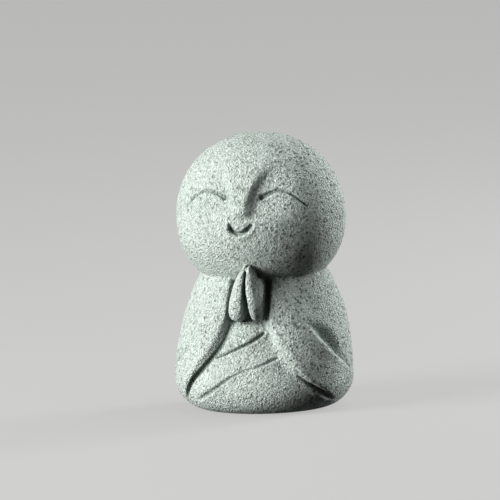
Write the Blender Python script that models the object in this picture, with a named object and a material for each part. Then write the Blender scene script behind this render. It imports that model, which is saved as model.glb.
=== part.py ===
"""A small sandstone monk, seated with his palms together, as one solid.

The figure faces -Y, his left side is at +X, and the origin is the middle of his flat underside.
"""

import math

import bmesh
import bpy
import numpy as np
from mathutils import Vector

# The figure is 60 mm tall. Its pose and carving are shares of that height, counted in
# sixtieths of it, so that one unit is one millimetre at the real size.
HEIGHT = 0.060
UNIT = HEIGHT / 60

# The robed body is an oval dome above its widest level and a rounded foot below it.
BODY_WIDTH = 39.0 * UNIT
BODY_DEPTH = 36.2 * UNIT
WIDEST_LEVEL = 6.8 * UNIT
DOME_TOP = 38.7 * UNIT
DOME_SQUARENESS = 2.05
FOOT_DRAW_IN = 7.5 * UNIT

# The torso sits a little further back than the crossed legs.
TORSO_SET_BACK = 2.6 * UNIT
SET_BACK_FROM = 6.0 * UNIT
SET_BACK_TO = 24.0 * UNIT

# Each forearm is a soft swelling that runs from the elbow up to the hands.
ELBOW = (60.0, 13.0 * UNIT)
WRIST = (19.0, 25.5 * UNIT)
FOREARM_SWELL = 1.1 * UNIT
FOREARM_REACH = 6.5 * UNIT
SWELL_AT_ELBOW = 0.25

# The head is a ball, a little squared, flatter below its widest level than above. It is placed
# from the hollow that the hands stand in, so that the fingertips keep touching the chin.
HEAD_WIDTH = 37.1 * UNIT
HEAD_DEPTH = 33.4 * UNIT
HEAD_BEHIND_HOLLOW = 10.38 * UNIT
HEAD_LEVEL = 41.6 * UNIT
HEAD_BELOW = 16.1 * UNIT
SQUARENESS_ABOVE = 2.12
SQUARENESS_BELOW = 2.2

# The face: a full chin, and a nose that widens into the brow between two shallow sockets
CHIN_PROUD = 0.7 * UNIT
CHIN_LEVELS = (30.0 * UNIT, 37.0 * UNIT, 40.0 * UNIT, 46.0 * UNIT)
CHIN_REACH = 14.0 * UNIT
SOCKET_DEPTH = 1.15 * UNIT
SOCKET_FLOOR = (43.0 * UNIT, 47.5 * UNIT)
SOCKET_ROOF = (50.0 * UNIT, 54.6 * UNIT)
SOCKET_SIDES = (4.8 * UNIT, 13.0 * UNIT)
# The nose, as (level, half width of its ridge, half width at its foot, rise)
NOSE = (
    (42.4, 0.2, 3.0, 0.0),
    (43.0, 0.3, 3.0, 0.6),
    (43.8, 0.35, 3.1, 1.25),
    (45.0, 0.4, 3.2, 1.55),
    (46.6, 0.75, 3.25, 1.65),
    (48.5, 1.3, 3.5, 1.6),
    (50.4, 2.0, 4.5, 1.3),
    (52.4, 2.9, 6.3, 0.85),
    (54.4, 4.2, 8.4, 0.35),
    (56.4, 5.8, 10.4, 0.0),
)

# The sleeves' inner edges, as (level, degrees from the front, width of the slope down to the
# lap, width of the sleeve's rounded border), both widths in degrees. The lap shows between
# them, and the hands stand in the same hollow.
EDGE_LEFT = (
    (0.0, 72.0, 3.0, 3.0),
    (2.8, 67.2, 3.0, 3.0),
    (5.0, 54.5, 4.0, 3.0),
    (6.6, 47.0, 5.0, 3.0),
    (8.1, 41.1, 6.0, 4.0),
    (9.9, 35.6, 7.0, 4.0),
    (12.5, 29.2, 7.0, 5.0),
    (15.0, 24.1, 6.0, 5.0),
    (18.1, 19.0, 3.0, 3.0),
    (20.7, 16.0, 4.0, 2.0),
    (22.9, 16.6, 1.6, 1.5),
    (26.0, 17.6, 1.2, 1.4),
    (30.0, 19.5, 1.2, 1.4),
    (40.0, 21.0, 1.2, 1.4),
)
EDGE_RIGHT = (
    (0.0, 52.5, 1.5, 1.5),
    (3.5, 50.5, 1.5, 1.8),
    (5.9, 47.8, 1.5, 2.0),
    (7.6, 43.5, 1.5, 2.6),
    (10.3, 34.8, 1.6, 4.0),
    (13.4, 25.6, 2.0, 5.0),
    (16.4, 19.4, 2.4, 5.0),
    (19.2, 15.3, 2.0, 4.2),
    (21.5, 13.6, 1.5, 2.8),
    (26.0, 12.9, 1.2, 2.5),
    (30.0, 14.7, 1.2, 2.5),
    (40.0, 16.5, 1.2, 2.5),
)
# How far the lap and the hollow above it lie behind the sleeves, as (level, depth)
HOLLOW = (
    (0.0, 0.0),
    (2.2, 0.2),
    (5.0, 0.7),
    (10.0, 1.6),
    (15.0, 2.4),
    (19.4, 2.6),
    (21.4, 3.4),
    (32.0, 3.4),
    (37.0, 0.0),
)
# The lap is fuller in its middle, by this share of that depth. The hollow behind the hands,
# which starts between these two levels, is not.
LAP_FULLNESS = 0.3
LAP_TOP = (18.5 * UNIT, 21.4 * UNIT)

# Each hand is two lobes, the fingers and the back of the hand. A lobe is an egg with its
# middle, as (distance from the palms' plane, distance before the hollow, level), its half
# sizes, how squared it is seen from above and from the side, and how much narrower it gets
# towards its top, all the way up and near the tip.
FINGERS = ((1.1, 4.6, 26.7), (2.15, 2.8, 6.05), (2.1, 2.5), (0.38, 0.3))
BACK_LEFT = ((1.9, 3.2, 25.3), (1.8, 3.2, 4.5), (2.8, 4.5), (0.1, 0.0))
BACK_RIGHT = ((1.5, 3.2, 24.7), (1.9, 3.0, 4.5), (2.2, 2.3), (0.1, 0.0))
TIP_BEND = 3
HOLLOW_AT_HANDS = 25.0 * UNIT
PALM_GAP = 0.2 * UNIT
HAND_BOTTOM = 20.5 * UNIT
PALMS_AT = -0.2 * UNIT
PALMS_LEAN = 0.085
# The palms part below this level, his left one further than his right one.
PALMS_PART_AT = 28.2 * UNIT
PART_LEFT = 1.9 * UNIT
PART_RIGHT = 0.1 * UNIT
PART_BEND = 1.2

# Carved lines, as (degrees from the front, level, radius of the tool). The angle is
# positive towards the figure's left.
EYE = (
    (14.8, 47.35, 0.6),
    (18.0, 47.85, 0.52),
    (24.0, 48.55, 0.44),
    (30.0, 48.75, 0.4),
    (36.0, 48.15, 0.36),
    (41.5, 46.85, 0.3),
    (47.5, 45.2, 0.18),
)
MOUTH = (
    (-7.3, 41.65, 0.36),
    (-5.9, 40.5, 0.5),
    (-3.4, 39.95, 0.5),
    (-0.6, 39.75, 0.46),
    (2.2, 40.05, 0.5),
    (4.9, 40.75, 0.52),
    (7.4, 41.65, 0.4),
)
LAP_FOLD_UPPER = (
    (13.1, 17.85, 0.3),
    (9.4, 17.1, 0.44),
    (2.9, 15.95, 0.42),
    (-4.0, 14.95, 0.4),
    (-11.8, 13.95, 0.4),
    (-17.0, 13.3, 0.36),
)
LAP_FOLD_LOWER = (
    (23.3, 12.6, 0.25),
    (18.6, 12.05, 0.34),
    (10.6, 11.0, 0.34),
    (2.9, 10.3, 0.34),
    (-5.1, 9.35, 0.36),
    (-12.6, 8.05, 0.4),
    (-20.7, 6.25, 0.48),
    (-28.5, 4.7, 0.48),
    (-38.5, 3.2, 0.3),
)
LAP_FOLD_LEFT = (
    (36.3, 8.95, 0.25),
    (40.7, 7.75, 0.4),
    (48.3, 6.05, 0.55),
    (56.0, 4.6, 0.6),
    (62.5, 3.6, 0.5),
    (69.0, 2.65, 0.25),
)
SLEEVE_FOLD_LEFT = (
    (45.0, 19.0, 0.3),
    (49.8, 17.6, 0.7),
    (55.2, 15.9, 0.85),
    (61.4, 14.1, 0.8),
    (69.0, 12.0, 0.55),
    (80.0, 9.9, 0.2),
)
SLEEVE_FOLD_RIGHT = (
    (-38.0, 17.6, 0.2),
    (-44.0, 15.0, 0.35),
    (-51.0, 12.7, 0.4),
    (-60.0, 11.0, 0.4),
    (-74.0, 9.8, 0.35),
    (-86.0, 9.6, 0.15),
)

# The shells have this many columns. They are crowded towards the front, where the carving
# is, and some of the robe's are kept for the hollow between the sleeves and for its edges.
COLUMNS = 56
FRONT_CROWDING = 0.58
HOLLOW_COLUMNS = 6
EDGE_COLUMNS = 3
SIDE_CROWDING = 1.15

# The robe's rows: some below its top, hidden in the head, then evenly spaced ones down to its
# widest level, then those of the foot.
CROWN_DROPS = (0.0, 0.5, 1.8, 3.8, 6.4)
FIRST_ROBE_DROP = 8.65
ROBE_ROWS = 16
FOOT_ROWS = 6

# The head's rows lie evenly in four bands of latitude, in degrees, and are close together at
# the face.
HEAD_BANDS = ((90.0, 46.8), (41.4, 2.2), (-2.7, -44.7), (-65.0, -90.0))
BAND_ROWS = (9, 15, 11, 2)

# The hands' and the line cutters' steps
LOBE_SEGMENTS = 16
LOBE_RINGS = 12
LINE_STEPS = 13
LINE_ROUNDNESS = 2
MERGE = 0.00001

STONE_COLOUR = (0.42, 0.47, 0.43, 1.0)


def ease(low, high, value):
    """0 at low, 1 at high, and smooth in between."""
    share = np.clip((value - low) / (high - low), 0.0, 1.0)
    return float(share * share * (3 - 2 * share))


def squared_round(share, squareness):
    """Half width of a squared circle at this share of its radius from the middle."""
    return max(0.0, 1 - abs(share) ** squareness) ** (1 / squareness)


def body_half_width(level):
    """Half the robe's plain width at a level, before the forearms and the hollow."""
    if level >= WIDEST_LEVEL:
        share = (level - WIDEST_LEVEL) / (DOME_TOP - WIDEST_LEVEL)
        return BODY_WIDTH / 2 * squared_round(share, DOME_SQUARENESS)
    share = min(1.0, (WIDEST_LEVEL - level) / WIDEST_LEVEL)
    return BODY_WIDTH / 2 - FOOT_DRAW_IN * (1 - squared_round(share, 2))


def forearm_swell(angle, level):
    """How far the sleeve stands out over the forearm, the same on both sides."""
    across = np.array([BODY_WIDTH / 2 * math.radians(abs(angle)), level])
    elbow = np.array([BODY_WIDTH / 2 * math.radians(ELBOW[0]), ELBOW[1]])
    wrist = np.array([BODY_WIDTH / 2 * math.radians(WRIST[0]), WRIST[1]])
    along = wrist - elbow
    share = np.clip((across - elbow) @ along / (along @ along), 0.0, 1.0)
    distance = np.linalg.norm(across - elbow - share * along)
    swell = FOREARM_SWELL * (SWELL_AT_ELBOW + (1 - SWELL_AT_ELBOW) * share)
    return swell * (1 - ease(0.0, FOREARM_REACH, distance))


def edge_at(angle, level):
    """(degrees, slope, border) of the sleeve's edge on the side of this angle."""
    rows = np.array(EDGE_LEFT if angle > 0 else EDGE_RIGHT)
    return [float(np.interp(level / UNIT, rows[:, 0], rows[:, column])) for column in (1, 2, 3)]


def hollow_depth(angle, level):
    """How far the robe lies behind the plain form between the sleeves."""
    edge, slope, border = edge_at(angle, level)
    levels, depths = zip(*HOLLOW)
    depth = float(np.interp(level / UNIT, levels, depths)) * UNIT
    middle = 1 - min(1.0, abs(angle) / edge) ** 2
    depth *= 1 - LAP_FULLNESS * middle * (1 - ease(*LAP_TOP, level))
    return depth * (1 - ease(edge - slope, edge + border, abs(angle)))


def body_point(angle, level):
    """A place on the robe. The angle is in degrees from the front, positive to his left."""
    half_width = body_half_width(level)
    half_width += forearm_swell(angle, level) - hollow_depth(angle, level)
    set_back = TORSO_SET_BACK * ease(SET_BACK_FROM, SET_BACK_TO, level)
    turn = math.radians(angle)
    return Vector(
        (
            half_width * math.sin(turn),
            set_back - half_width * BODY_DEPTH / BODY_WIDTH * math.cos(turn),
            level,
        )
    )


def face_relief(across, level):
    """How far the face stands out of the plain ball, or lies below it where negative."""
    across = abs(across)
    rows = np.array(NOSE)
    ridge, foot, rise = (
        float(np.interp(level / UNIT, rows[:, 0], rows[:, column])) * UNIT
        for column in (1, 2, 3)
    )
    nose = rise * (1 - ease(ridge, foot, across))
    socket = (
        SOCKET_DEPTH
        * ease(*SOCKET_FLOOR, level)
        * (1 - ease(*SOCKET_ROOF, level))
        * (1 - ease(*SOCKET_SIDES, across))
    )
    start, full, waning, end = CHIN_LEVELS
    chin = (
        CHIN_PROUD
        * (1 - ease(0.0, CHIN_REACH, across))
        * ease(start, full, level)
        * (1 - ease(waning, end, level))
    )
    return nose - socket + chin


def head_point(angle, level):
    """A place on the head, with the face's relief. The angle is in degrees."""
    if level > HEAD_LEVEL:
        size = squared_round((level - HEAD_LEVEL) / (HEIGHT - HEAD_LEVEL), SQUARENESS_ABOVE)
    else:
        size = squared_round((level - HEAD_LEVEL) / HEAD_BELOW, SQUARENESS_BELOW)
    turn = math.radians(angle)
    flat = Vector(
        (HEAD_WIDTH / 2 * size * math.sin(turn), -HEAD_DEPTH / 2 * size * math.cos(turn), 0)
    )
    middle = body_point(0.0, HOLLOW_AT_HANDS).y + HEAD_BEHIND_HOLLOW
    place = flat + Vector((0, middle, level))
    if abs(angle) < 90 and flat.length > 0:
        place += flat.normalized() * face_relief(flat.x, level)
    return place


def spun_solid(profile):
    """A closed shell turned about Z from (radius, level) pairs that run down from the top."""
    mesh = bmesh.new()
    seam = [mesh.verts.new((0, -radius, level)) for radius, level in profile]
    edges = [mesh.edges.new(pair) for pair in zip(seam, seam[1:])]
    bmesh.ops.spin(
        mesh,
        geom=seam + edges,
        cent=(0, 0, 0),
        axis=(0, 0, 1),
        angle=math.tau,
        steps=COLUMNS,
        use_merge=True,
    )
    bmesh.ops.remove_doubles(mesh, verts=mesh.verts, dist=MERGE)
    bmesh.ops.holes_fill(mesh, edges=[e for e in mesh.edges if e.is_boundary])
    bmesh.ops.recalc_face_normals(mesh, faces=mesh.faces)
    return mesh


def move_onto(mesh, surface, own_angle):
    """Moves each point of a spun shell onto surface(degrees from the front, level)."""
    for point in mesh.verts:
        turn = math.pi
        if math.hypot(point.co.x, point.co.y) > MERGE:
            turn = math.atan2(point.co.x, -point.co.y)
        point.co = surface(own_angle(turn, point.co.z), point.co.z)


def crowded_angle(turn, level):
    """Where a column of the head goes, in degrees: nearer the front than it was spun."""
    return math.degrees(turn - FRONT_CROWDING * math.sin(turn))


def robe_angle(turn, level):
    """Where a column of the robe goes, in degrees, so that some lie along the sleeve's edge."""
    edge, slope, border = edge_at(turn, level)
    column = round(abs(turn) / math.tau * COLUMNS)
    across_edge = HOLLOW_COLUMNS + EDGE_COLUMNS
    if column <= HOLLOW_COLUMNS:
        angle = (edge - slope) * column / HOLLOW_COLUMNS
    elif column <= across_edge:
        angle = edge - slope + (slope + border) * (column - HOLLOW_COLUMNS) / EDGE_COLUMNS
    else:
        share = (column - across_edge) / (COLUMNS / 2 - across_edge)
        angle = edge + border + (180 - edge - border) * share**SIDE_CROWDING
    return math.copysign(angle, turn)


def add_object(name, mesh, helper=True):
    """Stores a bmesh as an object. A helper is only there for the Booleans."""
    data = bpy.data.meshes.new(name)
    mesh.to_mesh(data)
    mesh.free()
    item = bpy.data.objects.new(name, data)
    bpy.context.scene.collection.objects.link(item)
    if helper:
        item.hide_render = True
        item.display_type = "WIRE"
    return item


def boolean(item, operation, other):
    modifier = item.modifiers.new(f"{operation.lower()} {other.name}", "BOOLEAN")
    modifier.operation = operation
    modifier.object = other


def make_body():
    """The robe, spun and then moved onto its form, with the hollow between the sleeves."""
    rows = [DOME_TOP - drop * UNIT for drop in CROWN_DROPS]
    rows += list(np.linspace(DOME_TOP - FIRST_ROBE_DROP * UNIT, WIDEST_LEVEL, ROBE_ROWS))
    quarter_turns = np.linspace(0, math.pi / 2, FOOT_ROWS + 1)[1:]
    rows += [WIDEST_LEVEL * (1 - math.sin(turn)) for turn in quarter_turns]
    mesh = spun_solid([(body_half_width(level), level) for level in rows])
    move_onto(mesh, body_point, robe_angle)
    return add_object("monk_statue", mesh, helper=False)


def make_head():
    profile = []
    bands = [np.linspace(*band, rows) for band, rows in zip(HEAD_BANDS, BAND_ROWS)]
    for latitude in np.radians(np.concatenate(bands)):
        tall = HEIGHT - HEAD_LEVEL if latitude > 0 else HEAD_BELOW
        radius = HEAD_WIDTH / 2 * math.cos(latitude)
        profile.append((radius, HEAD_LEVEL + tall * math.sin(latitude)))
    mesh = spun_solid(profile)
    move_onto(mesh, head_point, crowded_angle)
    return add_object("head_form", mesh)


def make_lobe(name, side, lobe):
    """A squared egg, narrower towards its top, cut flat where the palms face each other."""
    (out, before, level), half_sizes, (squared_above, squared_side), (taper, at_tip) = lobe
    middle = Vector((out, body_point(0.0, HOLLOW_AT_HANDS).y / UNIT - before, level))
    mesh = bmesh.new()
    bmesh.ops.create_uvsphere(mesh, u_segments=LOBE_SEGMENTS, v_segments=LOBE_RINGS, radius=1.0)
    for point in mesh.verts:
        x, y, z = point.co
        flat = (abs(x) ** squared_above + abs(y) ** squared_above) ** (1 / squared_above)
        whole = (flat**squared_side + abs(z) ** squared_side) ** (1 / squared_side)
        ball = point.co / whole
        point.co = (middle + Vector(half_sizes) * ball) * UNIT
        point.co.x *= 1 - taper * ball.z - at_tip * max(0.0, ball.z) ** TIP_BEND
    cut = bmesh.ops.bisect_plane(
        mesh,
        geom=mesh.verts[:] + mesh.edges[:] + mesh.faces[:],
        plane_co=(PALM_GAP, 0, 0),
        plane_no=(1, 0, 0),
        clear_inner=True,
    )
    rim = [item for item in cut["geom_cut"] if isinstance(item, bmesh.types.BMEdge)]
    bmesh.ops.contextual_create(mesh, geom=rim)
    widest = max(point.co.x for point in mesh.verts)
    part = PART_LEFT if side > 0 else PART_RIGHT
    for point in mesh.verts:
        below = max(0.0, PALMS_PART_AT - point.co.z) / (PALMS_PART_AT - HAND_BOTTOM)
        out = point.co.x + part * below**PART_BEND * (1 - point.co.x / widest)
        point.co.x = side * out + PALMS_AT + PALMS_LEAN * (point.co.z - HAND_BOTTOM)
    bmesh.ops.recalc_face_normals(mesh, faces=mesh.faces)
    return add_object(name, mesh)


def make_hand(name, side, back_lobe):
    hand = make_lobe(f"{name}_fingers", side, FINGERS)
    boolean(hand, "UNION", make_lobe(f"{name}_back", side, back_lobe))
    return hand


def smooth_line(points):
    """Rows read from a smooth curve through these rows, LINE_STEPS + 1 of them."""
    rows = np.array(points, float)
    rows = np.vstack([2 * rows[0] - rows[1], rows, 2 * rows[-1] - rows[-2]])
    spans = len(points) - 1
    smooth = []
    for place in np.linspace(0, spans, LINE_STEPS + 1):
        span = min(int(place), spans - 1)
        t = place - span
        a, b, c, d = rows[span : span + 4]
        smooth.append(
            b + (c - a) * t / 2 + (2 * a - 5 * b + 4 * c - d) * t**2 / 2
            + (3 * b - a - 3 * c + d) * t**3 / 2
        )
    return smooth


def make_line_cutter(name, points, surface):
    """A round rod that follows a carved line along a surface and tapers as the line does."""
    data = bpy.data.curves.new(name, "CURVE")
    data.dimensions = "3D"
    data.bevel_depth = UNIT
    data.bevel_resolution = LINE_ROUNDNESS
    data.use_fill_caps = True
    line = smooth_line(points)
    spline = data.splines.new("POLY")
    spline.points.add(len(line) - 1)
    for knot, (angle, level, radius) in zip(spline.points, line):
        knot.co = (*surface(angle, level * UNIT), 1.0)
        knot.radius = radius
    bent = bpy.data.objects.new(name, data)
    bpy.context.scene.collection.objects.link(bent)
    bpy.context.view_layer.update()
    rod = bmesh.new()
    rod.from_mesh(bent.evaluated_get(bpy.context.evaluated_depsgraph_get()).to_mesh())
    bpy.data.objects.remove(bent)
    bmesh.ops.remove_doubles(rod, verts=rod.verts, dist=MERGE)
    bmesh.ops.recalc_face_normals(rod, faces=rod.faces)
    return add_object(name, rod)


def mirrored(points):
    return tuple((-angle, level, radius) for angle, level, radius in points)


def make_line_cutters():
    return [
        make_line_cutter("eye_left_cut", EYE, head_point),
        make_line_cutter("eye_right_cut", mirrored(EYE), head_point),
        make_line_cutter("mouth_cut", MOUTH, head_point),
        make_line_cutter("lap_fold_upper_cut", LAP_FOLD_UPPER, body_point),
        make_line_cutter("lap_fold_lower_cut", LAP_FOLD_LOWER, body_point),
        make_line_cutter("lap_fold_left_cut", LAP_FOLD_LEFT, body_point),
        make_line_cutter("sleeve_fold_left_cut", SLEEVE_FOLD_LEFT, body_point),
        make_line_cutter("sleeve_fold_right_cut", SLEEVE_FOLD_RIGHT, body_point),
    ]


def stone():
    material = bpy.data.materials.new("pale_green_sandstone")
    material.use_nodes = True
    shader = material.node_tree.nodes["Principled BSDF"]
    shader.inputs["Base Color"].default_value = STONE_COLOUR
    shader.inputs["Roughness"].default_value = 0.9
    shader.inputs["Metallic"].default_value = 0.0
    return material


def main():
    for item in list(bpy.data.objects):
        bpy.data.objects.remove(item)
    statue = make_body()
    boolean(statue, "UNION", make_head())
    boolean(statue, "UNION", make_hand("hand_left", 1, BACK_LEFT))
    boolean(statue, "UNION", make_hand("hand_right", -1, BACK_RIGHT))
    for cutter in make_line_cutters():
        boolean(statue, "DIFFERENCE", cutter)
    statue.data.materials.append(stone())
    statue.data.shade_smooth()


main()
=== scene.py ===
# %% [markdown]
# This lesson dresses one small figure: a seated monk in pale grey-green sandstone, about as
# tall as a thumb, with his palms together and his eyes closed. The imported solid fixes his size
# and place. It has nearly ten thousand flat faces. Here the figure is modelled again, fine
# enough for a carver's tool marks, and gets a stone with grains, pits and pores.

# %% Load the frame
import math

import bmesh
import bpy
import numpy as np
from mathutils import Matrix, Vector, noise


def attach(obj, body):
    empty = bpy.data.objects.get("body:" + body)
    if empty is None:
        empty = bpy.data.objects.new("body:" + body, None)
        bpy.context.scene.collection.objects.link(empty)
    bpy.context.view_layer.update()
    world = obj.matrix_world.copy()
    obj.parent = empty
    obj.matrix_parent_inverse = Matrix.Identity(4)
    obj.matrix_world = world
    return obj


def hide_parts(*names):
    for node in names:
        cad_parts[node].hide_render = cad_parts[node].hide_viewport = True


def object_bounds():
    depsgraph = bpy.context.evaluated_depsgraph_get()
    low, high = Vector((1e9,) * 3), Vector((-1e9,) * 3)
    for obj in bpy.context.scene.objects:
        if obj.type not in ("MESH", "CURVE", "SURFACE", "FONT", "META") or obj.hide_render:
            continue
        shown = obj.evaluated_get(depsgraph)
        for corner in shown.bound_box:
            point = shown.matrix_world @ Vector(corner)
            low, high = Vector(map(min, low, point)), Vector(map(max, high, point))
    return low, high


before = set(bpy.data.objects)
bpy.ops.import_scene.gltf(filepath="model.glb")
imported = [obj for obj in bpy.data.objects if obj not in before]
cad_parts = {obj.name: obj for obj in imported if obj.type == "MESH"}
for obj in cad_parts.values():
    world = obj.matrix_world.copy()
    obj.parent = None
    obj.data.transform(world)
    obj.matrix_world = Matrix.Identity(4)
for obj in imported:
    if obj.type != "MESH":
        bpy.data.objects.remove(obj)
SOLID_LOW, SOLID_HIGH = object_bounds()
HEIGHT = SOLID_HIGH.z - SOLID_LOW.z
UNIT = HEIGHT / 60
print(f"the solid is {HEIGHT * 1000:.1f} mm tall, so one unit is {UNIT * 1000:.3f} mm")

# %% [markdown]
# The camera comes first. A long lens from far away keeps a small object free of perspective.
# The figure stands on the origin, faces -Y and is seen from a little to its left and above. The
# camera also rolls by a degree or two, because the real one appears to lean that much in its
# picture.

# %% Camera
PICTURE = 500
PIXEL = 0.2182e-3
FOOT_PIXEL = (265.4, 406.0)
VIEW_TURN = math.radians(15.5)
VIEW_RISE = math.radians(7.0)
VIEW_ROLL = math.radians(1.75)
VIEW_DISTANCE = 1.5
SENSOR = 36.0


def direction(turn, rise):
    """A unit vector towards a place this far round from the front and this far up."""
    flat = math.cos(rise)
    return Vector((math.sin(turn) * flat, -math.cos(turn) * flat, math.sin(rise)))


back = direction(VIEW_TURN, VIEW_RISE)
level_right = Vector((math.cos(VIEW_TURN), math.sin(VIEW_TURN), 0))
level_up = back.cross(level_right)
right = level_right * math.cos(VIEW_ROLL) - level_up * math.sin(VIEW_ROLL)
up = level_right * math.sin(VIEW_ROLL) + level_up * math.cos(VIEW_ROLL)
middle = right * (PICTURE / 2 - FOOT_PIXEL[0]) * PIXEL + up * (FOOT_PIXEL[1] - PICTURE / 2) * PIXEL

lens = bpy.data.cameras.new("long_lens")
lens.sensor_width = SENSOR
lens.lens = SENSOR * VIEW_DISTANCE / (PICTURE * PIXEL)
lens.clip_start = 0.01
camera = bpy.data.objects.new("camera", lens)
camera.matrix_world = Matrix((right, up, back)).transposed().to_4x4()
camera.matrix_world.translation = middle + back * VIEW_DISTANCE
bpy.context.scene.collection.objects.link(camera)
bpy.context.scene.camera = camera
print(f"the picture is {PICTURE * PIXEL * 1000:.0f} mm wide at the figure")

# %% [markdown]
# A soft form like this one is mostly a few smooth rules. The robe is an oval dome, and
# how wide it is at a level is one formula. Two small helpers do most of the work: ease rises
# softly from 0 to 1, and squared_round is a quarter of a slightly squared circle. Both work on
# whole numpy arrays at once, because the fine shells have very many points.

# %% Soft steps and squared rounds


def ease(low, high, value):
    """0 at low, 1 at high, and smooth in between."""
    share = np.clip((value - low) / (high - low), 0.0, 1.0)
    return share * share * (3 - 2 * share)


def squared_round(share, squareness):
    """Half width of a squared circle at this share of its radius from the middle."""
    return np.maximum(0.0, 1 - np.abs(share) ** squareness) ** (1 / squareness)


SPAN_STEPS = 12


def smooth_rows(rows):
    """Rows read from a smooth curve that passes through all of these rows."""
    rows = np.array(rows, float)
    padded = np.vstack([2 * rows[0] - rows[1], rows, 2 * rows[-1] - rows[-2]])
    smooth = []
    for a, b, c, d in zip(padded, padded[1:], padded[2:], padded[3:]):
        for t in np.arange(SPAN_STEPS) / SPAN_STEPS:
            smooth.append(
                b + (c - a) * t / 2 + (2 * a - 5 * b + 4 * c - d) * t**2 / 2
                + (3 * b - a - 3 * c + d) * t**3 / 2
            )
    return np.array(smooth + [rows[-1]])


print("ease at its middle:", float(ease(0, 1, 0.5)))

# %% [markdown]
# The robe covers the whole body. Its dome is widest low down, over the crossed legs, and rolls
# in to a flat underside. Between the sleeves the cloth lies deeper: there the lap shows, and
# above it a niche for the hands. The edge of each sleeve is read from a short table by level,
# as a maker would mark it on the block before cutting.

# %% The robe's plain form
BODY_WIDTH = 39.0 * UNIT
BODY_DEPTH = 36.2 * UNIT
WIDEST_LEVEL = 6.8 * UNIT
DOME_TOP = 38.7 * UNIT
DOME_SQUARENESS = 2.05
FOOT_DRAW_IN = 7.5 * UNIT
TORSO_SET_BACK = 2.6 * UNIT
SET_BACK_LEVELS = (6.0 * UNIT, 24.0 * UNIT)


def robe_half_width(level):
    """Half the robe's plain width at a level, before the forearms and the hollow."""
    up_share = (level - WIDEST_LEVEL) / (DOME_TOP - WIDEST_LEVEL)
    dome = BODY_WIDTH / 2 * squared_round(up_share, DOME_SQUARENESS)
    down_share = np.clip((WIDEST_LEVEL - level) / WIDEST_LEVEL, 0.0, 1.0)
    foot = BODY_WIDTH / 2 - FOOT_DRAW_IN * (1 - squared_round(down_share, 2))
    return np.where(level >= WIDEST_LEVEL, dome, foot)


print(f"half width at the hands: {float(robe_half_width(25 * UNIT)) * 1000:.1f} mm")

# %% [markdown]
# Each forearm lies under its sleeve as a soft swelling. It is a straight line from the elbow to
# the wrist on the unrolled robe, and it stands out most at the wrist.

# %% Forearms under the sleeves
ELBOW = (60.0, 13.0 * UNIT)
WRIST = (19.0, 25.5 * UNIT)
FOREARM_SWELL = 1.1 * UNIT
FOREARM_REACH = 6.5 * UNIT
SWELL_AT_ELBOW = 0.25


def forearm_swell(angle, level):
    """How far the sleeve stands out over the forearm, the same on both sides."""
    place = np.stack([BODY_WIDTH / 2 * np.radians(np.abs(angle)), level], axis=-1)
    elbow = np.array([BODY_WIDTH / 2 * math.radians(ELBOW[0]), ELBOW[1]])
    wrist = np.array([BODY_WIDTH / 2 * math.radians(WRIST[0]), WRIST[1]])
    along = wrist - elbow
    share = np.clip((place - elbow) @ along / (along @ along), 0.0, 1.0)
    distance = np.linalg.norm(place - elbow - share[..., None] * along, axis=-1)
    swell = FOREARM_SWELL * (SWELL_AT_ELBOW + (1 - SWELL_AT_ELBOW) * share)
    return swell * (1 - ease(0.0, FOREARM_REACH, distance))


print(f"a forearm stands out by up to {FOREARM_SWELL * 1000:.1f} mm")

# %% [markdown]
# The two sleeves end in different curves, so each has its own table. A third table says how
# far the hollow between them lies behind the plain form.

# %% The sleeves' edges and the hollow between them
# Rows of level, degrees from the front, width of the slope and width of the rounded border.
EDGE_LEFT = smooth_rows((
    (0.0, 72.0, 3.0, 3.0),
    (2.8, 67.2, 3.0, 3.0),
    (5.0, 54.5, 4.0, 3.0),
    (6.6, 47.0, 5.0, 3.0),
    (8.1, 41.1, 6.0, 4.0),
    (9.9, 35.6, 7.0, 4.0),
    (12.5, 29.2, 7.0, 5.0),
    (15.0, 24.1, 6.0, 5.0),
    (18.1, 19.0, 3.0, 3.0),
    (20.7, 16.0, 4.0, 2.0),
    (22.9, 16.6, 1.6, 1.5),
    (26.0, 17.6, 1.0, 1.3),
    (30.0, 19.5, 1.0, 1.3),
    (40.0, 21.0, 1.0, 1.3),
))
EDGE_RIGHT = smooth_rows((
    (0.0, 52.5, 1.5, 1.5),
    (3.5, 50.5, 1.5, 1.8),
    (5.9, 47.8, 1.5, 2.0),
    (7.6, 43.5, 1.5, 2.6),
    (10.3, 34.8, 1.6, 4.0),
    (13.4, 25.6, 2.0, 5.0),
    (16.4, 19.4, 2.4, 5.0),
    (19.2, 15.3, 2.0, 4.2),
    (21.5, 13.6, 1.5, 2.8),
    (26.0, 12.9, 1.2, 2.5),
    (30.0, 14.7, 1.2, 2.5),
    (40.0, 16.5, 1.2, 2.5),
))
# Rows of level and depth
HOLLOW = (
    (0.0, 0.0),
    (2.2, 0.2),
    (5.0, 0.7),
    (10.0, 1.6),
    (15.0, 2.4),
    (19.4, 2.6),
    (21.4, 3.4),
    (32.0, 3.4),
    (37.0, 0.0),
)
LAP_FULLNESS = 0.3
LAP_TOP = (18.5 * UNIT, 21.4 * UNIT)


def by_side(angle, level, column):
    """A column of the sleeve edge tables, for the side that each angle is on."""
    marks = level / UNIT
    left = np.interp(marks, EDGE_LEFT[:, 0], EDGE_LEFT[:, column])
    return np.where(angle > 0, left, np.interp(marks, EDGE_RIGHT[:, 0], EDGE_RIGHT[:, column]))


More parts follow.
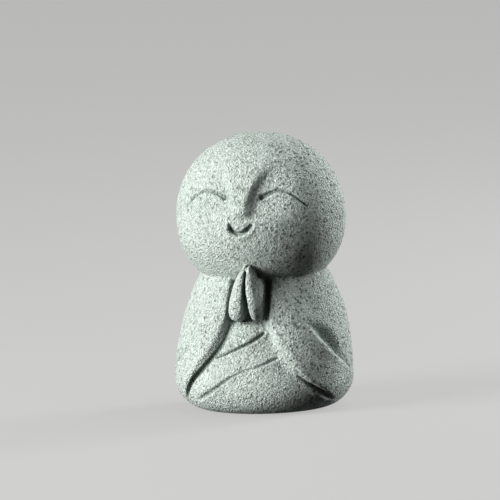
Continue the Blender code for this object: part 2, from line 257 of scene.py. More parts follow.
def hollow_depth(angle, level):
    """How far the robe lies behind the plain form between the sleeves."""
    edge, slope, border = (by_side(angle, level, column) for column in (1, 2, 3))
    levels, depths = zip(*HOLLOW)
    depth = np.interp(level / UNIT, levels, depths) * UNIT
    fullness = 1 - np.minimum(1.0, np.abs(angle) / edge) ** 2
    depth = depth * (1 - LAP_FULLNESS * fullness * (1 - ease(*LAP_TOP, level)))
    return depth * (1 - ease(edge - slope, edge + border, np.abs(angle)))


def robe_surface(angle, level):
    """Places on the robe, one row each. Angles are in degrees, positive to the figure's left."""
    half_width = robe_half_width(level) + forearm_swell(angle, level) - hollow_depth(angle, level)
    set_back = TORSO_SET_BACK * ease(*SET_BACK_LEVELS, level)
    turn = np.radians(angle)
    across = half_width * np.sin(turn)
    along = set_back - half_width * BODY_DEPTH / BODY_WIDTH * np.cos(turn)
    return np.stack([across, along, level + 0 * turn], axis=-1)


front = robe_surface(np.array([0.0]), np.array([10.0 * UNIT]))[0]
print(f"the lap's front is {-front[1] * 1000:.1f} mm before the axis")

# %% [markdown]
# The head is a ball, a little squared, with a full chin. The nose isn't stuck on: it is the
# ground left standing between two shallow sockets, and it widens upwards into the brow. One
# relief value for each place across the face and up it says how far the stone stands out.

# %% The head's form and the face's relief
HEAD_WIDTH = 37.1 * UNIT
HEAD_DEPTH = 33.4 * UNIT
HEAD_SET_BACK = 1.1 * UNIT
HEAD_LEVEL = 41.6 * UNIT
HEAD_BELOW = 16.1 * UNIT
SQUARENESS_ABOVE = 2.12
SQUARENESS_BELOW = 2.2
CHIN_PROUD = 0.7 * UNIT
CHIN_LEVELS = (30.0 * UNIT, 37.0 * UNIT, 40.0 * UNIT, 46.0 * UNIT)
CHIN_REACH = 14.0 * UNIT
# Rows of level, half width of the nose's ridge, half width at its foot and how far it rises
NOSE = smooth_rows((
    (42.9, 0.4, 3.0, 0.0),
    (43.6, 0.5, 3.1, 0.9),
    (44.3, 0.55, 3.3, 1.65),
    (45.4, 0.6, 3.4, 1.95),
    (46.6, 0.75, 3.5, 1.95),
    (48.5, 1.3, 3.9, 1.8),
    (50.4, 2.0, 4.8, 1.4),
    (52.4, 2.9, 6.3, 0.85),
    (54.4, 4.2, 8.4, 0.35),
    (56.4, 5.8, 10.4, 0.0),
))
SOCKET_DEPTH = 1.15 * UNIT
SOCKET_FLOOR = (42.0 * UNIT, 47.0 * UNIT)
SOCKET_ROOF = (50.0 * UNIT, 54.6 * UNIT)
SOCKET_SIDES = (4.8 * UNIT, 13.0 * UNIT)


def face_relief(across, level):
    """How far the face stands out of the plain ball, or lies below it where negative."""
    across, marks = np.abs(across), level / UNIT
    ridge, foot, rise = (np.interp(marks, NOSE[:, 0], NOSE[:, column]) for column in (1, 2, 3))
    nose = rise * UNIT * (1 - ease(ridge, foot, across / UNIT))
    socket = SOCKET_DEPTH * ease(*SOCKET_FLOOR, level) * (1 - ease(*SOCKET_ROOF, level))
    socket = socket * (1 - ease(*SOCKET_SIDES, across))
    start, full, waning, end = CHIN_LEVELS
    chin = CHIN_PROUD * (1 - ease(0.0, CHIN_REACH, across))
    chin = chin * ease(start, full, level) * (1 - ease(waning, end, level))
    return nose - socket + chin


def head_surface(angle, level):
    """Places on the head, one row each, with the face's relief. Angles are in degrees."""
    above = squared_round((level - HEAD_LEVEL) / (HEIGHT - HEAD_LEVEL), SQUARENESS_ABOVE)
    below = squared_round((level - HEAD_LEVEL) / HEAD_BELOW, SQUARENESS_BELOW)
    size = np.where(level > HEAD_LEVEL, above, below)
    turn = np.radians(angle)
    across = HEAD_WIDTH / 2 * size * np.sin(turn)
    along = -HEAD_DEPTH / 2 * size * np.cos(turn)
    length = np.maximum(np.hypot(across, along), UNIT / 1000)
    relief = np.where(np.abs(angle) < 90, face_relief(across, level), 0.0)
    grown = 1 + relief / length * (size > 0)
    return np.stack([across * grown, along * grown + HEAD_SET_BACK, level + 0 * turn], axis=-1)


nose_line = head_surface(np.zeros(len(NOSE)), NOSE[:, 0] * UNIT)
print(f"the nose reaches {-nose_line[:, 1].min() * 1000:.1f} mm before the axis")

# %% [markdown]
# A shell starts as a plain turned shape. Its profile is a row of vertices, and bmesh.ops.spin
# turns it once round Z. A spin gets slow with many steps, so it makes a coarse shell, and
# subdivide_edges makes that fine. Then each point is moved onto the formula's surface. The
# columns are moved towards the front as well, because the back has little to show.

# %% Turned shells
SHELL_COLUMNS = 105
SHELL_CUTS = 3
FRONT_CROWDING = 0.58
SHELL_PITCH = 1.2 * UNIT
MERGE = 1e-6


def spun_shell(profile):
    """A closed shell turned about Z from (radius, level) pairs that run down from the top."""
    mesh = bmesh.new()
    seam = [mesh.verts.new((0, -radius, level)) for radius, level in profile]
    edges = [mesh.edges.new(pair) for pair in zip(seam, seam[1:])]
    bmesh.ops.spin(
        mesh, geom=seam + edges, cent=(0, 0, 0), axis=(0, 0, 1),
        angle=math.tau, steps=SHELL_COLUMNS, use_merge=True,
    )
    bmesh.ops.remove_doubles(mesh, verts=mesh.verts, dist=MERGE)
    bmesh.ops.holes_fill(mesh, edges=[edge for edge in mesh.edges if edge.is_boundary])
    bmesh.ops.subdivide_edges(mesh, edges=mesh.edges, cuts=SHELL_CUTS, use_grid_fill=True)
    bmesh.ops.recalc_face_normals(mesh, faces=mesh.faces)
    return mesh


def move_onto(mesh, surface):
    """Moves each point of a spun shell onto surface(degrees from the front, level)."""
    places = np.array([point.co for point in mesh.verts])
    turn = np.arctan2(places[:, 0], -places[:, 1])
    angle = np.degrees(turn - FRONT_CROWDING * np.sin(turn))
    for point, place in zip(mesh.verts, surface(angle, places[:, 2])):
        point.co = place


def stone_object(name, mesh):
    """Stores a bmesh as an object in the scene."""
    data = bpy.data.meshes.new(name)
    mesh.to_mesh(data)
    mesh.free()
    item = bpy.data.objects.new(name, data)
    bpy.context.scene.collection.objects.link(item)
    return item


dome_levels = np.linspace(DOME_TOP, WIDEST_LEVEL, round((DOME_TOP - WIDEST_LEVEL) / SHELL_PITCH))
foot_turns = np.linspace(0, math.pi / 2, round(WIDEST_LEVEL / SHELL_PITCH))[1:]
robe_levels = np.concatenate([dome_levels, WIDEST_LEVEL * (1 - np.sin(foot_turns))])
robe = spun_shell(list(zip(robe_half_width(robe_levels), robe_levels)))
move_onto(robe, robe_surface)
print(f"the robe's shell has {len(robe.verts)} points")

latitudes = np.linspace(math.pi / 2, -math.pi / 2, round(math.pi * HEAD_WIDTH / 2 / SHELL_PITCH))
tall = np.where(latitudes > 0, HEIGHT - HEAD_LEVEL, HEAD_BELOW)
head_levels = HEAD_LEVEL + tall * np.sin(latitudes)
head = spun_shell(list(zip(HEAD_WIDTH / 2 * np.cos(latitudes), head_levels)))
move_onto(head, head_surface)
print(f"the head's shell has {len(head.verts)} points")

# %% [markdown]
# The hands are two palms pressed together, with a dark slit between them that opens towards
# the wrists. Each hand is two lobes: the fingers, long and tapering up to the chin, and behind
# them the back of the hand, shorter and flat-topped. A lobe is a sphere that is squared,
# tapered and stretched, and bisect_plane cuts it flat where the palms face each other. Its
# squareness differs seen from above and from the side, and it narrows all the way up and once
# more near the tip. The palms part towards the wrists, and the outsides of the hands stay
# where they are.

# %% Hands
# A lobe is its centre (outwards, before the hollow, level), its half sizes, its squareness
# from above and from the side, and its taper all the way up and at the tip.
FINGERS = ((1.1, 4.6, 26.7), (2.15, 2.8, 6.05), (2.1, 2.5), (0.38, 0.3))
BACK_LEFT = ((1.9, 3.2, 25.3), (1.8, 3.2, 4.5), (2.8, 4.5), (0.1, 0.0))
BACK_RIGHT = ((1.5, 3.2, 24.7), (1.9, 3.0, 4.5), (2.2, 2.3), (0.1, 0.0))
TIP_BEND = 3
HOLLOW_AT_HANDS = 25.0 * UNIT
PALM_GAP = 0.26 * UNIT
HAND_BOTTOM = 20.5 * UNIT
PALMS_AT = -0.2 * UNIT
PALMS_LEAN = 0.085
PALMS_PART_AT = 28.2 * UNIT
PALMS_PART_BY = {1: 1.9 * UNIT, -1: 0.1 * UNIT}
PART_BEND = 1.2
LOBE_SEGMENTS = 64
LOBE_RINGS = 48

hollow_front = robe_surface(np.array([0.0]), np.array([HOLLOW_AT_HANDS]))[0, 1] / UNIT


def hand_lobe(side, lobe):
    """One closed lobe of a hand, on the figure's left where side is 1."""
    (out, before, level), half_sizes, (squared_above, squared_side), (taper, at_tip) = lobe
    centre = np.array([out, hollow_front - before, level])
    mesh = bmesh.new()
    bmesh.ops.create_uvsphere(mesh, u_segments=LOBE_SEGMENTS, v_segments=LOBE_RINGS, radius=1.0)
    for point in mesh.verts:
        ball = np.array(point.co)
        flat = (np.abs(ball[:2]) ** squared_above).sum() ** (1 / squared_above)
        ball /= (flat**squared_side + abs(ball[2]) ** squared_side) ** (1 / squared_side)
        point.co = Vector((centre + half_sizes * ball) * UNIT)
        point.co.x *= 1 - taper * ball[2] - at_tip * max(0.0, ball[2]) ** TIP_BEND
    cut = bmesh.ops.bisect_plane(
        mesh,
        geom=mesh.verts[:] + mesh.edges[:] + mesh.faces[:],
        plane_co=(PALM_GAP, 0, 0),
        plane_no=(1, 0, 0),
        clear_inner=True,
    )
    rim = [item for item in cut["geom_cut"] if isinstance(item, bmesh.types.BMEdge)]
    bmesh.ops.contextual_create(mesh, geom=rim)
    widest = max(point.co.x for point in mesh.verts)
    for point in mesh.verts:
        below = max(0.0, PALMS_PART_AT - point.co.z) / (PALMS_PART_AT - HAND_BOTTOM)
        apart = PALMS_PART_BY[side] * below**PART_BEND * (1 - point.co.x / widest)
        lean = PALMS_AT + PALMS_LEAN * (point.co.z - HAND_BOTTOM)
        point.co.x = side * (point.co.x + apart) + lean
    bmesh.ops.recalc_face_normals(mesh, faces=mesh.faces)
    return mesh


lobes = []
for side, hand_back in ((1, BACK_LEFT), (-1, BACK_RIGHT)):
    lobes.append(hand_lobe(side, FINGERS))
    lobes.append(hand_lobe(side, hand_back))
print(f"the hands are {len(lobes)} lobes")

# %% [markdown]
# One block of stone has no seams, so the shells become one skin. A voxel Remesh walks round
# everything at once and leaves one closed surface of even little squares. It also forgets how
# the shells met, so a few rounds of smoothing turn each meeting line into a soft fillet.

# %% One skin
VOXEL = 0.22 * UNIT
SMOOTH_ROUNDS = 5
SMOOTH_FACTOR = 0.5


def applied(item):
    """The object's mesh as its modifiers leave it, with the modifiers gone."""
    bpy.context.view_layer.update()
    shown = item.evaluated_get(bpy.context.evaluated_depsgraph_get())
    data = bpy.data.meshes.new_from_object(shown)
    item.modifiers.clear()
    item.data = data
    return data


block = bmesh.new()
for shell in [robe, head, *lobes]:
    part = bpy.data.meshes.new("shell")
    shell.to_mesh(part)
    shell.free()
    block.from_mesh(part)
    bpy.data.meshes.remove(part)
monk = stone_object("sandstone_monk", block)
remesh = monk.modifiers.new("one skin", "REMESH")
remesh.mode = "VOXEL"
remesh.voxel_size = VOXEL
fillets = monk.modifiers.new("fillets", "SMOOTH")
fillets.iterations = SMOOTH_ROUNDS
fillets.factor = SMOOTH_FACTOR
skin = applied(monk)
print(f"one skin of {len(skin.polygons)} squares")

# %% [markdown]
# Lines are carved into the skin, as a tool does it: a path over the surface, and a cross
# section that is pushed along it. A path is a few rows of degrees, level, half width and depth
# in units. A cross section says how high the stone is at each distance from the path, with
# soft lips beside the groove. Each point near a path is moved along its own normal. How far it
# went down is kept for later, because the cuts get painted shade in the stone's colour.

# %% The carver's tool
GROOVE = (
    (-2.4, 0.0), (-1.6, 0.03), (-1.1, -0.12), (-0.65, -0.75), (0.0, -1.0),
    (0.65, -0.75), (1.1, -0.12), (1.6, 0.03), (2.4, 0.0),
)


def points_of(data):
    """The mesh's points, one row each."""
    places = np.empty(len(data.vertices) * 3, np.float32)
    data.vertices.foreach_get("co", places)
    return places.reshape(-1, 3).astype(float)


def normals_of(data):
    """The normals at the mesh's points, one row each."""
    normals = np.empty(len(data.vertices) * 3, np.float32)
    data.vertex_normals.foreach_get("vector", normals)
    return normals.reshape(-1, 3).astype(float)


def path_on(surface, rows):
    """A carved path as points, half widths, depths and the way up across it."""
    rows = smooth_rows(rows)
    angle, level, half_width, depth = rows.T
    places = surface(angle, level * UNIT)
    along = np.gradient(places, axis=0)
    turn = np.radians(angle)
    outward = np.stack([np.sin(turn), -np.cos(turn), 0 * turn], axis=-1)
    upward = np.cross(along, outward)
    upward *= np.where(upward[:, 2:] < 0, -1, 1)
    upward /= np.linalg.norm(upward, axis=1)[:, None]
    return places, half_width * UNIT, depth * UNIT, upward


def carve(places, normals, path, section):
    """Moves the places near a path, and returns how far each one went down."""
    line, half_width, depth, upward = path
    section = np.array(section)
    reach = np.abs(section[:, 0]).max() * half_width.max()
    low, high = line.min(axis=0) - reach, line.max(axis=0) + reach
    near = np.flatnonzero(((places > low) & (places < high)).all(axis=1))
    spot = places[near]
    start, along = line[:-1], np.diff(line, axis=0)
    best = np.full(len(near), np.inf)
    which, share = np.zeros(len(near), int), np.zeros(len(near))
    for number, (a, ab) in enumerate(zip(start, along)):
        t = np.clip((spot - a) @ ab / (ab @ ab), 0.0, 1.0)
        distance = np.linalg.norm(spot - a - t[:, None] * ab, axis=1)
        closer = distance < best
        best[closer], which[closer], share[closer] = distance[closer], number, t[closer]
    foot = start[which] + share[:, None] * along[which]
    above = np.sign(((spot - foot) * upward[which]).sum(axis=1))
    width = half_width[which] * (1 - share) + half_width[which + 1] * share
    deep = depth[which] * (1 - share) + depth[which + 1] * share
    moved = np.zeros(len(places))
    moved[near] = deep * np.interp(above * best / width, section[:, 0], section[:, 1])
    places += normals * moved[:, None]
    return moved


# %% [markdown]
# The eyes are closed, and each is one arc: blunt and deep at the nose, fine at the temple. The
# mouth is a short upturned cut, deepest near its corners. Three strokes make the whole face.

# %% Face strokes
EYE = (
    (14.8, 47.35, 0.6, 0.9),
    (18.0, 47.85, 0.5, 0.66),
    (24.0, 48.55, 0.42, 0.54),
    (30.0, 48.75, 0.4, 0.52),
    (36.0, 48.15, 0.38, 0.5),
    (41.5, 46.85, 0.36, 0.46),
    (47.5, 45.2, 0.28, 0.3),
)
MOUTH = (
    (-7.3, 41.65, 0.36, 0.7),
    (-5.9, 40.5, 0.48, 1.1),
    (-3.4, 39.95, 0.5, 1.0),
    (-0.6, 39.75, 0.46, 0.9),
    (2.2, 40.05, 0.48, 1.0),
    (4.9, 40.75, 0.5, 1.05),
    (7.4, 41.65, 0.42, 0.7),
)


def mirrored(rows):
    """The same path on the other side of the figure."""
    return tuple((-angle, *others) for angle, *others in rows)


print(f"an eye has {len(EYE)} marks and the mouth {len(MOUTH)}")

# %% [markdown]
# The cloth has three folds over the lap and one on each sleeve. A last, plain groove deepens
# the line where the right sleeve meets the lap.

# %% Fold strokes
LAP_FOLD_UPPER = (
    (13.1, 17.85, 0.34, 0.6),
    (9.4, 17.1, 0.44, 0.85),
    (2.9, 15.95, 0.4, 0.8),
    (-4.0, 14.95, 0.38, 0.8),
    (-11.8, 13.95, 0.38, 0.8),
    (-19.0, 13.1, 0.38, 0.75),
    (-22.5, 12.7, 0.36, 0.7),
)
LAP_FOLD_LOWER = (
    (23.3, 12.6, 0.3, 0.4),
    (18.6, 12.05, 0.34, 0.5),
    (10.6, 11.0, 0.3, 0.4),
    (2.9, 10.3, 0.28, 0.35),
    (-5.1, 9.35, 0.32, 0.5),
    (-12.6, 8.05, 0.36, 0.6),
    (-20.7, 6.25, 0.42, 0.7),
    (-28.5, 4.7, 0.46, 0.7),
    (-38.5, 3.2, 0.34, 0.3),
)
LAP_FOLD_LEFT = (
    (36.0, 9.0, 0.25, 0.1),
    (40.7, 7.75, 0.36, 0.45),
    (48.3, 6.05, 0.46, 0.75),
    (56.0, 4.6, 0.52, 0.85),
    (62.5, 3.6, 0.46, 0.7),
    (69.0, 2.65, 0.3, 0.3),
)
SLEEVE_FOLD_LEFT = (
    (45.0, 19.0, 0.6, 0.25),
    (49.8, 17.6, 1.1, 0.75),
    (55.2, 15.9, 1.3, 1.1),
    (61.4, 14.1, 1.25, 1.0),
    (69.0, 12.0, 0.95, 0.65),
    (80.0, 9.9, 0.6, 0.2),
)
SLEEVE_FOLD_RIGHT = (
    (-38.0, 17.6, 0.4, 0.12),
    (-44.0, 15.0, 0.6, 0.25),
    (-51.0, 12.7, 0.6, 0.3),
    (-60.0, 11.0, 0.55, 0.35),
    (-74.0, 9.8, 0.5, 0.35),
    (-86.0, 9.6, 0.3, 0.1),
)
SLEEVE_VALLEY_RIGHT = (
    (-15.0, 19.2, 0.4, 0.15),
    (-17.7, 16.4, 0.45, 0.3),
    (-24.1, 13.4, 0.5, 0.5),
    (-32.9, 10.4, 0.5, 0.7),
    (-41.5, 8.0, 0.5, 0.85),
    (-46.9, 5.9, 0.46, 0.8),
    (-50.5, 4.1, 0.4, 0.6),
    (-53.5, 3.0, 0.25, 0.3),
)
# Cloth that laps over a fold stands up sharply on one side and falls away slowly on the other.
OVERLAP = (
    (-4.0, 0.0), (-2.0, 0.25), (-1.1, 0.05), (-0.6, -0.7), (0.0, -1.0),
    (0.7, -0.6), (1.4, -0.1), (2.4, 0.0),
)
SCOOP = (
    (-2.4, 0.0), (-1.3, 0.2), (-0.8, 0.28), (-0.3, 0.0), (0.5, -0.9),
    (0.9, -1.0), (1.5, -0.75), (2.6, -0.2), (3.4, 0.0),
)

STROKES = (
    (head_surface, EYE, GROOVE),
    (head_surface, mirrored(EYE), GROOVE),
    (head_surface, MOUTH, OVERLAP),
    (robe_surface, LAP_FOLD_UPPER, OVERLAP),
    (robe_surface, LAP_FOLD_LOWER, OVERLAP),
    (robe_surface, LAP_FOLD_LEFT, OVERLAP),
    (robe_surface, SLEEVE_FOLD_LEFT, SCOOP),
    (robe_surface, SLEEVE_FOLD_RIGHT, SCOOP),
    (robe_surface, SLEEVE_VALLEY_RIGHT, GROOVE),
)
# From this depth on, a cut has its full painted shade.
FULL_DEPTH = 0.5 * UNIT

places, normals = points_of(skin), normals_of(skin)
cut = np.zeros(len(places))
for surface, rows, section in STROKES:
    moved = carve(places, normals, path_on(surface, rows), smooth_rows(section))
    cut = np.maximum(cut, np.clip(-moved / FULL_DEPTH, 0.0, 1.0))
    print(f"a stroke {-moved.min() * 1000:.2f} mm deep moved {np.count_nonzero(moved)} points")

# %% [markdown]
# Such stone is never quite even. It has soft lumps of a millimetre or two, and longer, low
# swells. Both are shape, so they are moved points and not paint. The underside stays flat,
# because the figure stands on it.

# %% Lumps and swells
# Rows of size and height
LUMPS = ((5.0, 0.06), (1.6, 0.03))
FLAT_FOOT = (0.05 * UNIT, 0.8 * UNIT)

lift = np.zeros(len(places))
for size, height in LUMPS:
    for number, place in enumerate(places):
        lift[number] += height * UNIT * noise.noise(Vector(place / (size * UNIT)))
lift *= ease(*FLAT_FOOT, places[:, 2])
places += normals * lift[:, None]
places[:, 2] = np.where(places[:, 2] < FLAT_FOOT[0], 0.0, places[:, 2])
skin.vertices.foreach_set("co", places.astype(np.float32).ravel())
# The cut attribute carries how deep each point was carved, for the painted shade in the cuts.
skin.attributes.new("cut", "FLOAT", "POINT").data.foreach_set("value", cut.astype(np.float32))
skin.update()
print(f"the lumps stand up to {lift.max() * 1000:.2f} mm out")

# %% [markdown]
# The carving needed small squares everywhere. The finished piece doesn't: Decimate takes
# points away where the stone is nearly flat and leaves them along the cuts, down to a number
# that another program opens easily.

# %% Fewer triangles
TRIANGLES = 196000

fewer = monk.modifiers.new("fewer triangles", "DECIMATE")
fewer.ratio = TRIANGLES / (2 * len(skin.polygons))
skin = applied(monk)
skin.shade_smooth()
print(f"{len(skin.polygons)} faces are left")

# %% [markdown]
# Sandstone is sand grains in a fine cement. At this size the grains show one by one: most are
# the body's grey-green, some are dark, some pale, and a few glint: they are smoother, and their
# colour is painted brighter as a painted glint. Shallow pits and darker pores lie between them,
# and their darker colour is painted shade in the holes. On his left side they are painted
# coarser, with stronger painted light and shade, as where light rakes across them. The pattern
# reads Object coordinates in metres, so it runs through the stone in three dimensions, with no
# seam anywhere. Grains, fine sand, pits and pores shape the surface too. Where the stone is
# carved or hidden from the light, its colour is painted darker, as painted shade.

# %% Sandstone
GRAIN = 0.42 * UNIT
FINE_GRAIN = 0.24 * UNIT
# Holes are their spacing, how much their sizes differ and how soft their edges are.
PITS = (0.85 * UNIT, 0.3, 0.2)
PORES = (1.3 * UNIT, 0.2, 0.12)
# Painted shade: the colour is darker inside the pits and pores, for the shade in the holes.
PIT_SHADE = 0.96
PORE_SHADE = 0.72
MOTTLE = 7.0 * UNIT
# How much each layer adds to the relief, as a share of the grains
GRAIN_RELIEF = 0.33 * UNIT
PIT_RELIEF = 0.9
PORE_RELIEF = 1.2
FINE_RELIEF = 0.5
# Painted raking light and shade: across X, towards his left side, the pits are painted darker and
# the fine grain lighter and darker.
PAINTED_RAKE_SIDE = (-4.0 * UNIT, 11.0 * UNIT)
STONE = (0.415, 0.468, 0.436, 1.0)
# Painted shade: ambient occlusion darkens the stone's colour in creases and hollows, within this
# reach.
CREASE_SHADE_REACH = 2.0 * UNIT
CREASE_SHADE_STONE = (0.30, 0.34, 0.30, 1.0)
CREASE_SHADE_FROM, CREASE_SHADE_TO = 0.25, 0.75
# Painted shade: carved points get a darker colour, by how deep they were cut.
CUT_SHADE_STONE = (0.66, 0.70, 0.68, 1.0)
CUT_SHADE_FROM, CUT_SHADE_TO = 0.15, 0.9
GLOSS = 0.3

stone = bpy.data.materials.new("pale_green_sandstone")
stone.use_nodes = True
tree = stone.node_tree
shader = tree.nodes["Principled BSDF"]


def add_node(kind, **values):
    """A node of this kind, with these properties and input values, by their names."""
    node = tree.nodes.new(kind)
    for name, value in values.items():
        if hasattr(node, name):
            setattr(node, name, value)
        else:
            node.inputs[name.replace("_", " ").title()].default_value = value
    return node


def join(output, node, socket):
    """Links an output to one of a node's inputs."""
    tree.links.new(output, node.inputs[socket])


def ramp(output, *stops):
    """A colour ramp over this output, from (place, colour) stops."""
    node = add_node("ShaderNodeValToRGB")
    join(output, node, "Fac")
    elements = node.color_ramp.elements
    while len(elements) < len(stops):
        elements.new(1.0)
    for element, (place, colour) in zip(elements, stops):
        element.position = place
        element.color = colour if isinstance(colour, tuple) else (colour, colour, colour, 1.0)
    return node.outputs["Color"]


def mixed(first, second, blend, amount=1.0):
    """Two colours mixed in one of the Mix node's ways, by a number or by an output."""
    node = add_node("ShaderNodeMix", data_type="RGBA", blend_type=blend)
    if isinstance(amount, float):
        node.inputs[0].default_value = amount
    else:
        tree.links.new(amount, node.inputs[0])
    tree.links.new(first, node.inputs[6])
    tree.links.new(second, node.inputs[7])
    return node.outputs[2]


def sums(first, second, scale):
    """first + second * scale, for numbers."""
    node = add_node("ShaderNodeMath", operation="MULTIPLY_ADD")
    tree.links.new(second, node.inputs[0])
    node.inputs[1].default_value = scale
    tree.links.new(first, node.inputs[2])
    return node.outputs[0]


where = add_node("ShaderNodeTexCoord").outputs["Object"]
bend = add_node("ShaderNodeTexNoise", scale=1 / GRAIN, detail=1.0)
join(where, bend, "Vector")
wander = add_node("ShaderNodeMix", data_type="RGBA", blend_type="LINEAR_LIGHT")
wander.inputs[0].default_value = GRAIN
tree.links.new(where, wander.inputs[6])
tree.links.new(bend.outputs["Color"], wander.inputs[7])
warped = wander.outputs[2]

grains = add_node("ShaderNodeTexVoronoi", scale=1 / GRAIN)
join(warped, grains, "Vector")
grain_pick = add_node("ShaderNodeSeparateColor")
join(grains.outputs["Color"], grain_pick, "Color")
# The grains' own tones, except the last step, which paints the brightest few paler as painted
# glints. Those grains are also smoother, for real shine.
grain_tone_and_glint = ramp(
    grain_pick.outputs["Red"],
    (0.0, (0.70, 0.72, 0.70, 1.0)),
    (0.06, (0.87, 0.88, 0.87, 1.0)),
    (0.25, (0.97, 0.97, 0.97, 1.0)),
    (0.75, (1.01, 1.01, 1.01, 1.0)),
    (0.95, (1.06, 1.06, 1.06, 1.0)),
    (1.0, (1.35, 1.35, 1.34, 1.0)),
)
fine = add_node("ShaderNodeTexNoise", scale=1 / FINE_GRAIN, detail=3.0, roughness=0.6)
join(where, fine, "Vector")
fine_tint = ramp(fine.outputs["Fac"], (0.3, 0.95), (0.7, 1.05))
mottle = add_node("ShaderNodeTexNoise", scale=1 / MOTTLE, detail=2.0)
join(where, mottle, "Vector")
mottle_tint = ramp(
    mottle.outputs["Fac"],
    (0.3, (0.94, 0.96, 0.95, 1.0)),
    (0.7, (1.05, 1.04, 1.04, 1.0)),
)


def holes(spacing, share, softness):
    """0 inside small round holes of different sizes, this far apart, and 1 between them."""
    cells = add_node("ShaderNodeTexVoronoi", scale=1 / spacing)
    join(warped, cells, "Vector")
    pick = add_node("ShaderNodeSeparateColor")
    join(cells.outputs["Color"], pick, "Color")
    edge = add_node("ShaderNodeMath", operation="MULTIPLY_ADD")
    join(pick.outputs["Green"], edge, 0)
    edge.inputs[1].default_value = -share
    join(cells.outputs["Distance"], edge, 2)
    return ramp(edge.outputs[0], (0.0, 0.0), (softness, 1.0))


pits = holes(*PITS)
pores = holes(*PORES)
# Painted shade inside the pits and pores.
painted_pit_shade = ramp(pits, (0.0, PIT_SHADE), (1.0, 1.0))
painted_pore_shade = ramp(pores, (0.0, PORE_SHADE), (1.0, 1.0))

base = add_node("ShaderNodeRGB")
base.outputs[0].default_value = STONE
white = add_node("ShaderNodeRGB")
white.outputs[0].default_value = (1.0, 1.0, 1.0, 1.0)
colour = mixed(base.outputs[0], grain_tone_and_glint, "MULTIPLY")
colour = mixed(colour, fine_tint, "MULTIPLY")
colour = mixed(colour, mottle_tint, "MULTIPLY")
colour = mixed(colour, painted_pit_shade, "MULTIPLY")
# Painted raking light and shade: on his left side, the pits are painted darker and the fine grain
# lighter and darker.
apart = add_node("ShaderNodeSeparateXYZ")
join(where, apart, 0)
painted_rake_share = add_node("ShaderNodeMapRange")
join(apart.outputs["X"], painted_rake_share, "Value")
painted_rake_share.inputs["From Min"].default_value = PAINTED_RAKE_SIDE[0]
painted_rake_share.inputs["From Max"].default_value = PAINTED_RAKE_SIDE[1]
painted_rake_grain = mixed(
    ramp(pits, (0.0, 0.36), (1.0, 1.08)),
    ramp(fine.outputs["Fac"], (0.34, 0.62), (0.66, 1.32)),
    "MULTIPLY",
)
painted_rake_grain = mixed(white.outputs[0], painted_rake_grain, "MIX", painted_rake_share.outputs[0])
colour = mixed(colour, painted_rake_grain, "MULTIPLY")
colour = mixed(colour, painted_pore_shade, "MULTIPLY")
# Painted shade: the colour is darkened where ambient occlusion finds the stone hemmed in, as in
# creases, slits and under the chin.
deep = add_node("ShaderNodeAmbientOcclusion", only_local=True, samples=8)
deep.inputs["Distance"].default_value = CREASE_SHADE_REACH
painted_crease_shade = ramp(deep.outputs["AO"], (CREASE_SHADE_FROM, CREASE_SHADE_STONE), (CREASE_SHADE_TO, 1.0))
colour = mixed(colour, painted_crease_shade, "MULTIPLY")
# Painted shade: the colour of carved points is darkened by how deep they were cut.
carved = add_node("ShaderNodeAttribute", attribute_name="cut")
painted_cut_shade = ramp(carved.outputs["Fac"], (CUT_SHADE_FROM, 1.0), (CUT_SHADE_TO, CUT_SHADE_STONE))
colour = mixed(colour, painted_cut_shade, "MULTIPLY")
tree.links.new(colour, shader.inputs["Base Color"])

grain_height = ramp(grains.outputs["Distance"], (0.0, 1.0), (0.8, 0.0))
height = sums(grain_height, pits, PIT_RELIEF)
height = sums(height, pores, PORE_RELIEF)
height = sums(height, fine.outputs["Fac"], FINE_RELIEF)
bump = add_node("ShaderNodeBump")
bump.inputs["Distance"].default_value = GRAIN_RELIEF
bump.inputs["Strength"].default_value = 1.0
tree.links.new(height, bump.inputs["Height"])
tree.links.new(bump.outputs["Normal"], shader.inputs["Normal"])
roughness = ramp(grain_pick.outputs["Red"], (0.9, 0.88), (1.0, 0.55))
tree.links.new(roughness, shader.inputs["Roughness"])
shader.inputs["Specular IOR Level"].default_value = GLOSS
skin.materials.clear()
skin.materials.append(stone)
print(f"sandstone of {len(tree.nodes)} nodes")

# %% [markdown]
# The stage is a plain floor that curves up on every side into a wall, like a wide bowl. It is
# one line of vertices, turned round Z. Its paper is dark, and a glow of its own turns it grey.
# So near a small stone, it would throw light up under the chin and into the folds, where the
# shade should be deep. Switching off its diffuse visibility keeps that light off the stone.

# %% Floor and backdrop
WALL_RADIUS = 2.6
WALL_TOP = 2.4
BEND_RADIUS = 0.9
BEND_STEPS = 12
STAGE_STEPS = 64
PAPER = (0.08, 0.08, 0.079, 1.0)
PAPER_GLOW = (0.46, 0.46, 0.455, 1.0)
PAPER_ROUGHNESS = 0.95
PAPER_GLOSS = 0.1

bend_turns = np.linspace(0, math.pi / 2, BEND_STEPS)
outline = [(0.0, 0.0)]
for turn in bend_turns:
    outline.append((
        WALL_RADIUS - BEND_RADIUS + BEND_RADIUS * math.sin(turn),
        BEND_RADIUS * (1 - math.cos(turn)),
    ))
outline.append((WALL_RADIUS, WALL_TOP))
bowl = bmesh.new()
line = [bowl.verts.new((0, -radius, level)) for radius, level in outline]
edges = [bowl.edges.new(pair) for pair in zip(line, line[1:])]
bmesh.ops.spin(
    bowl, geom=line + edges, cent=(0, 0, 0), axis=(0, 0, 1),
    angle=math.tau, steps=STAGE_STEPS, use_merge=True,
)
bmesh.ops.remove_doubles(bowl, verts=bowl.verts, dist=MERGE)
bmesh.ops.recalc_face_normals(bowl, faces=bowl.faces)
floor = stone_object("floor", bowl)
floor.data.shade_smooth()
paper = bpy.data.materials.new("pale_paper")
paper.use_nodes = True
sheet = paper.node_tree.nodes["Principled BSDF"]
sheet.inputs["Base Color"].default_value = PAPER
sheet.inputs["Roughness"].default_value = PAPER_ROUGHNESS
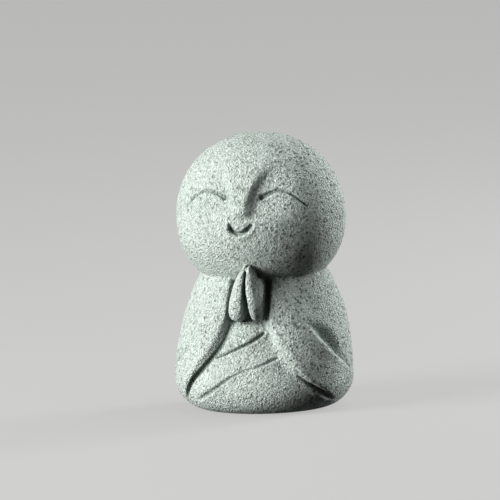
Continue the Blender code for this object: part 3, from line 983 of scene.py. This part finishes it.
sheet.inputs["Specular IOR Level"].default_value = PAPER_GLOSS
sheet.inputs["Emission Color"].default_value = PAPER_GLOW
sheet.inputs["Emission Strength"].default_value = 1.0
floor.data.materials.append(paper)
floor.visible_diffuse = False
print("the floor is level with the underside")

# %% [markdown]
# The main light is soft and comes from the figure's right and front, a little above him, as
# from a window. It rakes across the stone on his left side, which brings the grain out. A weaker
# light behind him on the other side draws the edge of his sleeve, a broad one high up on his
# left lights his head from above, and the air gives a little light too.

# %% Light
# A light is its turn, rise, distance, size, power and colour.
KEY = (math.radians(-49), math.radians(15), 0.55, 0.3, 8.3, (1.0, 1.0, 0.985))
RIM = (math.radians(136), math.radians(12), 0.5, 0.16, 3.6, (1.0, 1.0, 1.0))
SKY = (math.radians(110), math.radians(70), 0.8, 0.7, 4.6, (0.97, 1.0, 1.0))
AIR = (0.02, 0.02, 0.02, 1.0)
AIMED_AT = Vector((0, 0, HEIGHT / 2))


def softbox(name, turn, rise, distance, size, power, colour):
    """A square light aimed at the figure. The camera doesn't see the light itself."""
    light = bpy.data.lights.new(name, "AREA")
    light.size = size
    light.energy = power
    light.color = colour
    item = bpy.data.objects.new(name, light)
    towards = direction(turn, rise)
    item.location = AIMED_AT + towards * distance
    item.rotation_euler = towards.to_track_quat("Z", "Y").to_euler()
    item.visible_camera = False
    bpy.context.scene.collection.objects.link(item)


softbox("window", *KEY)
softbox("rim", *RIM)
softbox("sky", *SKY)
world = bpy.data.worlds.new("studio")
world.use_nodes = True
world.node_tree.nodes["Background"].inputs["Color"].default_value = AIR
bpy.context.scene.world = world
bpy.context.scene.view_settings.view_transform = "Standard"
print("three softboxes and a dim room")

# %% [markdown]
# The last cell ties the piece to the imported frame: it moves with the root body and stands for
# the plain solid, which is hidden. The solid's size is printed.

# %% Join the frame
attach(monk, "root")
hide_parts("monk_statue")
print("solid", [round(v * 1000, 2) for v in SOLID_HIGH - SOLID_LOW], "mm")
